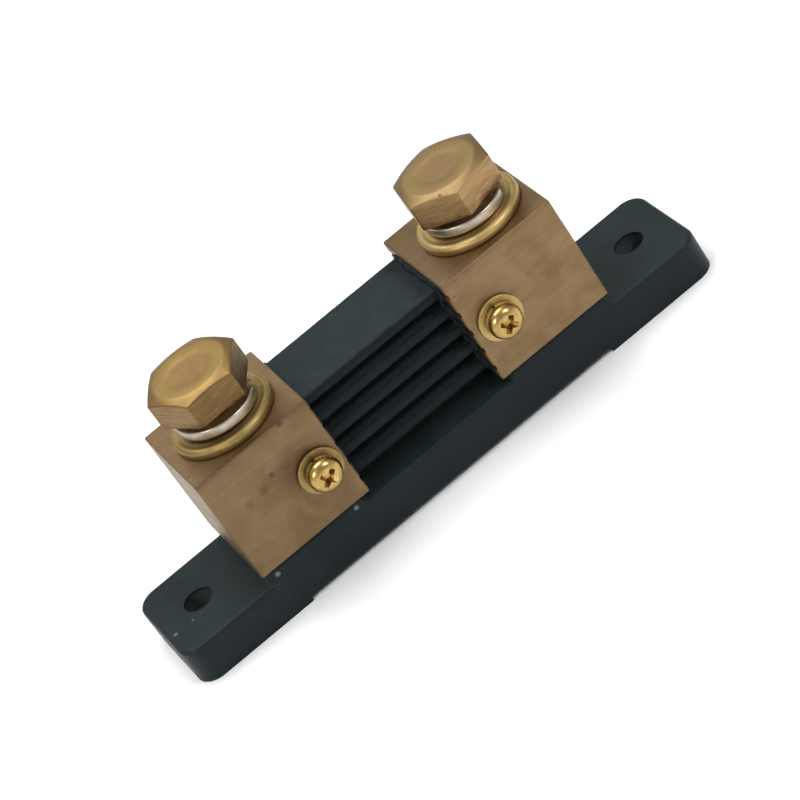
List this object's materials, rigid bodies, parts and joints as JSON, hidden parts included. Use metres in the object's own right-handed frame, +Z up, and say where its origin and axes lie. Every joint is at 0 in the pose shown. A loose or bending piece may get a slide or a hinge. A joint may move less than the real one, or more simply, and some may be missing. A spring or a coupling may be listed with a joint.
{
  "type": "battery monitor shunt",
  "caption": "Battery monitor shunt: resistor plates soldered between brass terminal blocks on a black moulded base.",
  "frame": {"origin": "centre of the base's footprint, on the surface it stands on", "axes": "+X along the base and the current path; -Y towards the sense screws; +Z up"},
  "size_m": [0.12, 0.0285, 0.0468],
  "materials": {
    "base_moulding": "satin moulded black",
    "brass_block": "dull milled brass, slightly tarnished",
    "brass_bolt": "forged brass, satin",
    "brass_washer": "stamped brass, bright satin",
    "brass_screw": "bright brass",
    "spring_steel": "nickel-plated spring steel",
    "painted_plate": "black lacquer over resistance alloy",
    "zinc_screw": "zinc-plated steel"
  },
  "bodies": {
    "root": {"base": "base_moulding", "left_back_base_screw": "zinc_screw", "left_flat_washer": "brass_washer", "left_front_base_screw": "zinc_screw", "left_sense_flat_washer": "brass_washer", "left_terminal_block": "brass_block", "resistor_plate_1": "painted_plate", "resistor_plate_2": "painted_plate", "resistor_plate_3": "painted_plate", "resistor_plate_4": "painted_plate", "resistor_plate_5": "painted_plate", "right_back_base_screw": "zinc_screw", "right_flat_washer": "brass_washer", "right_front_base_screw": "zinc_screw", "right_sense_flat_washer": "brass_washer", "right_terminal_block": "brass_block"},
    "left_lock_washer": {"left_spring_washer": "spring_steel"},
    "left_bolt": {"left_terminal_bolt": "brass_bolt"},
    "left_sense_lock_washer": {"left_sense_spring_washer": "brass_washer"},
    "left_sense": {"left_sense_screw": "brass_screw"},
    "right_lock_washer": {"right_spring_washer": "spring_steel"},
    "right_bolt": {"right_terminal_bolt": "brass_bolt"},
    "right_sense_lock_washer": {"right_sense_spring_washer": "brass_washer"},
    "right_sense": {"right_sense_screw": "brass_screw"}
  },
  "joints": [
    {"name": "left_bolt_turn", "type": "hinge", "parent": "root", "child": "left_lock_washer", "pos_m": [-0.0277, 0, 0.0341], "axis": [0, 0, 1], "range_deg": [0, 2880]},
    {"name": "left_bolt_rise", "type": "slide", "parent": "left_lock_washer", "child": "left_bolt", "axis": [0, 0, 1], "range_m": [0, 0.012]},
    {"name": "left_sense_turn", "type": "hinge", "parent": "root", "child": "left_sense_lock_washer", "pos_m": [-0.0206, -0.0122, 0.0209], "axis": [0, -1, 0], "range_deg": [0, 2880]},
    {"name": "left_sense_rise", "type": "slide", "parent": "left_sense_lock_washer", "child": "left_sense", "axis": [0, -1, 0], "range_m": [0, 0.0056]},
    {"name": "right_bolt_turn", "type": "hinge", "parent": "root", "child": "right_lock_washer", "pos_m": [0.0293, 0, 0.0341], "axis": [0, 0, 1], "range_deg": [0, 2880]},
    {"name": "right_bolt_rise", "type": "slide", "parent": "right_lock_washer", "child": "right_bolt", "axis": [0, 0, 1], "range_m": [0, 0.012]},
    {"name": "right_sense_turn", "type": "hinge", "parent": "root", "child": "right_sense_lock_washer", "pos_m": [0.0214, -0.0122, 0.0216], "axis": [0, -1, 0], "range_deg": [0, 2880]},
    {"name": "right_sense_rise", "type": "slide", "parent": "right_sense_lock_washer", "child": "right_sense", "axis": [0, -1, 0], "range_m": [0, 0.0056]}
  ],
  "couplings": [
    {"joint": "left_bolt_turn", "follows": "left_bolt_rise", "rad_per_m": 4188.8},
    {"joint": "left_sense_turn", "follows": "left_sense_rise", "rad_per_m": 8976},
    {"joint": "right_bolt_turn", "follows": "right_bolt_rise", "rad_per_m": 4188.8},
    {"joint": "right_sense_turn", "follows": "right_sense_rise", "rad_per_m": 8976}
  ]
}
